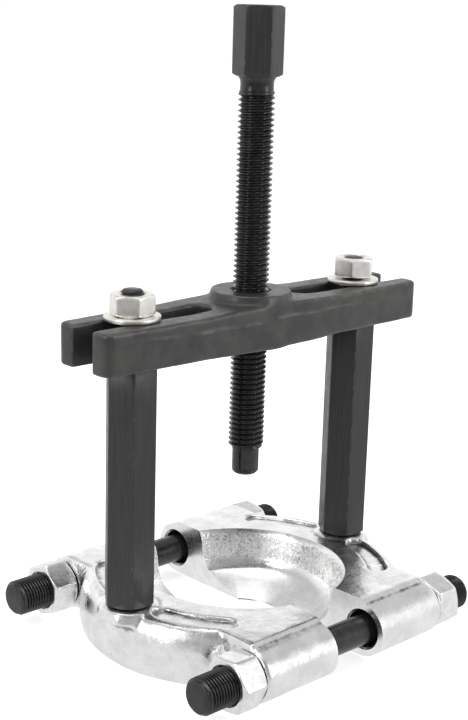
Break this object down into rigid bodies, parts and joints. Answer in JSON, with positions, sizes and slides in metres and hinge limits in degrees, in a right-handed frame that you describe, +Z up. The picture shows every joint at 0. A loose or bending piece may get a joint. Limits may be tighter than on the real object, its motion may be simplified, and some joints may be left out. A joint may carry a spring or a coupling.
{
  "type": "gear puller",
  "caption": "Bearing-separator gear puller: two half jaws on threaded studs, hexagon legs, a slotted crossbar and a forcing screw.",
  "frame": {"origin": "on the plane that the jaws rest on, under the forcing screw's axis and midway between the jaws and between the studs", "axes": "+X along the studs from the left jaw to the right one, +Y from the front stud to the back one, +Z up along the forcing screw to its head"},
  "size_m": [0.1892, 0.1492, 0.278],
  "materials": {
    "bright_plate": "bright zinc plate over a forged and shot-blasted surface",
    "bright_nut": "bright plated machined steel",
    "pale_zinc": "satin zinc plate",
    "forged_black": "satin black coating on a forging",
    "black_leg": "black oxide on drawn hexagon bar",
    "black_oxide": "oiled black oxide on turned and threaded steel"
  },
  "bodies": {
    "bar_and_studs": {"crossbar": "forged_black", "front_stud": "black_oxide", "back_stud": "black_oxide"},
    "left_half": {"left_jaw": "bright_plate", "left_leg": "black_leg", "left_washer": "pale_zinc"},
    "right_half": {"right_jaw": "bright_plate", "right_leg": "black_leg", "right_washer": "pale_zinc"},
    "front_left_nut": {"front_left_nut": "bright_nut"},
    "back_left_nut": {"back_left_nut": "bright_nut"},
    "front_right_nut": {"front_right_nut": "bright_nut"},
    "back_right_nut": {"back_right_nut": "bright_nut"},
    "left_leg_nut": {"left_leg_nut": "pale_zinc"},
    "right_leg_nut": {"right_leg_nut": "pale_zinc"},
    "screw_nose": {"screw_nose": "black_oxide"},
    "forcing_screw": {"forcing_screw": "black_oxide"}
  },
  "joints": [
    {"name": "left_half_slide", "type": "slide", "parent": "bar_and_studs", "child": "left_half", "axis": [1, 0, 0], "range_m": [-0.0105, 0.0141]},
    {"name": "right_half_slide", "type": "slide", "parent": "bar_and_studs", "child": "right_half", "axis": [-1, 0, 0], "range_m": [-0.0105, 0.0141]},
    {"name": "front_left_nut_turn", "type": "hinge", "parent": "left_half", "child": "front_left_nut", "pos_m": [-0.062, -0.062, 0.0129], "axis": [1, 0, 0], "range_deg": [-2521, 3385]},
    {"name": "back_left_nut_turn", "type": "hinge", "parent": "left_half", "child": "back_left_nut", "pos_m": [-0.062, 0.062, 0.0129], "axis": [1, 0, 0], "range_deg": [-2521, 3385]},
    {"name": "front_right_nut_turn", "type": "hinge", "parent": "right_half", "child": "front_right_nut", "pos_m": [0.062, -0.062, 0.0129], "axis": [-1, 0, 0], "range_deg": [-2521, 3385]},
    {"name": "back_right_nut_turn", "type": "hinge", "parent": "right_half", "child": "back_right_nut", "pos_m": [0.062, 0.062, 0.0129], "axis": [-1, 0, 0], "range_deg": [-2521, 3385]},
    {"name": "screw_travel", "type": "slide", "parent": "bar_and_studs", "child": "screw_nose", "axis": [0, 0, -1], "range_m": [-0.04387, 0.06812]},
    {"name": "screw_turn", "type": "hinge", "parent": "screw_nose", "child": "forcing_screw", "pos_m": [0, 0, 0.1], "axis": [0, 0, -1], "range_deg": [-6841, 10621]},
    {"name": "left_leg_nut_turn", "type": "hinge", "parent": "left_half", "child": "left_leg_nut", "pos_m": [-0.0672, 0, 0.159], "axis": [0, 0, 1], "range_deg": [0, 540]},
    {"name": "right_leg_nut_turn", "type": "hinge", "parent": "right_half", "child": "right_leg_nut", "pos_m": [0.0672, 0, 0.16], "axis": [0, 0, 1], "range_deg": [-240, 300]}
  ],
  "couplings": [
    {"joint": "right_half_slide", "follows": "left_half_slide", "ratio": 1},
    {"joint": "front_left_nut_turn", "follows": "left_half_slide", "rad_per_m": 4188.8},
    {"joint": "back_left_nut_turn", "follows": "left_half_slide", "rad_per_m": 4188.8},
    {"joint": "front_right_nut_turn", "follows": "left_half_slide", "rad_per_m": 4188.8},
    {"joint": "back_right_nut_turn", "follows": "left_half_slide", "rad_per_m": 4188.8},
    {"joint": "screw_turn", "follows": "screw_travel", "rad_per_m": 2721.1}
  ]
}
